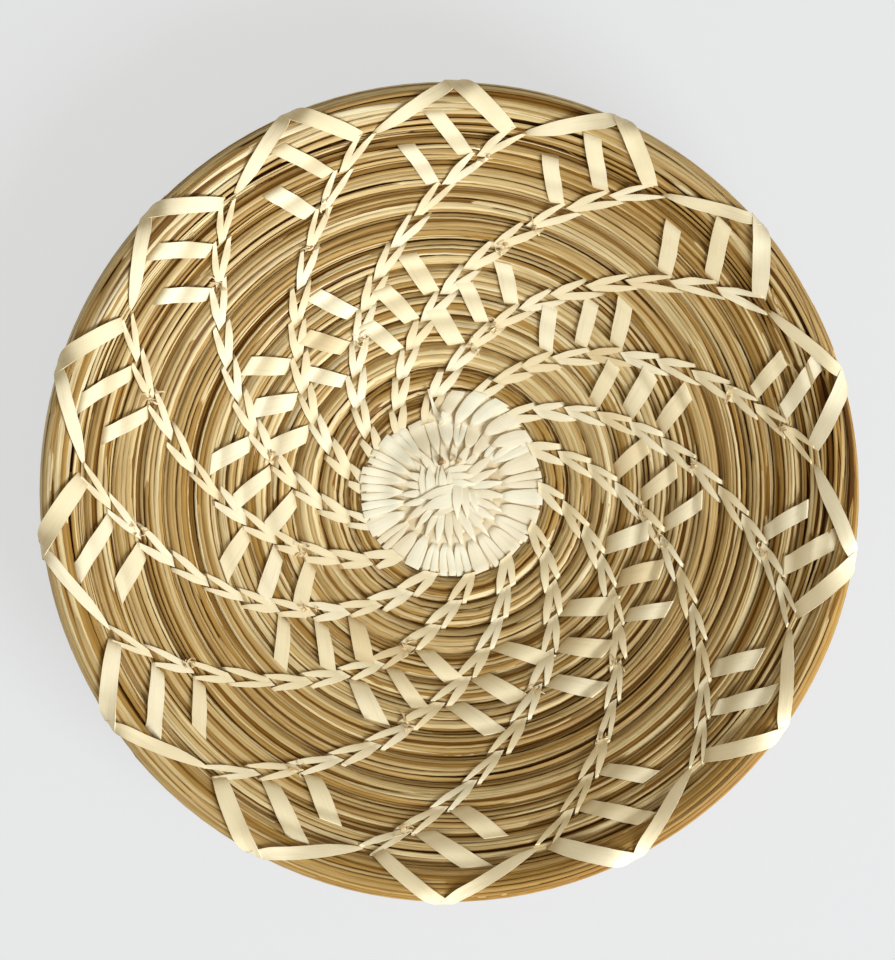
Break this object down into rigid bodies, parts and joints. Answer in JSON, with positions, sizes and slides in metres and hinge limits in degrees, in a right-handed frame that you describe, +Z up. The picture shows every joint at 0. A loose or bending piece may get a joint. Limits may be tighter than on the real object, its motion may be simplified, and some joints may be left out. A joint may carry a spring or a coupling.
{
  "type": "coiled basket tray",
  "caption": "Shallow round tray of coiled straw sewn with split leaf-splint stitches in curved rows, with a close-stitched middle and a zigzag-lashed rim.",
  "frame": {"origin": "on the table, under the middle of the dish", "axes": "+Z up out of the dish, +Y towards twelve o'clock of the stitch pattern, where the close stitching ends"},
  "size_m": [0.2677, 0.2699, 0.039],
  "materials": {
    "straw": "matte",
    "splint": "satin"
  },
  "bodies": {
    "root": {"foundation_coil": "straw", "close_stitches_inner": "splint", "close_stitches_outer": "splint", "centre_knot": "splint", "stitch_row_01": "splint", "stitch_row_02": "splint", "stitch_row_03": "splint", "stitch_row_04": "splint", "stitch_row_05": "splint", "stitch_row_06": "splint", "stitch_row_07": "splint", "stitch_row_08": "splint", "stitch_row_09": "splint", "stitch_row_10": "splint", "stitch_row_11": "splint", "stitch_row_12": "splint", "stitch_row_13": "splint", "stitch_row_14": "splint", "rim_stitch_01_left": "splint", "rim_stitch_01_right": "splint", "rim_stitch_02_left": "splint", "rim_stitch_02_right": "splint", "rim_stitch_03_left": "splint", "rim_stitch_03_right": "splint", "rim_stitch_04_left": "splint", "rim_stitch_04_right": "splint", "rim_stitch_05_left": "splint", "rim_stitch_05_right": "splint", "rim_stitch_06_left": "splint", "rim_stitch_06_right": "splint", "rim_stitch_07_left": "splint", "rim_stitch_07_right": "splint", "rim_stitch_08_left": "splint", "rim_stitch_08_right": "splint", "rim_stitch_09_left": "splint", "rim_stitch_09_right": "splint", "rim_stitch_10_left": "splint", "rim_stitch_10_right": "splint", "rim_stitch_11_left": "splint", "rim_stitch_11_right": "splint", "rim_stitch_12_left": "splint", "rim_stitch_12_right": "splint", "rim_stitch_13_left": "splint", "rim_stitch_13_right": "splint", "rim_stitch_14_left": "splint", "rim_stitch_14_right": "splint"}
  },
  "joints": []
}
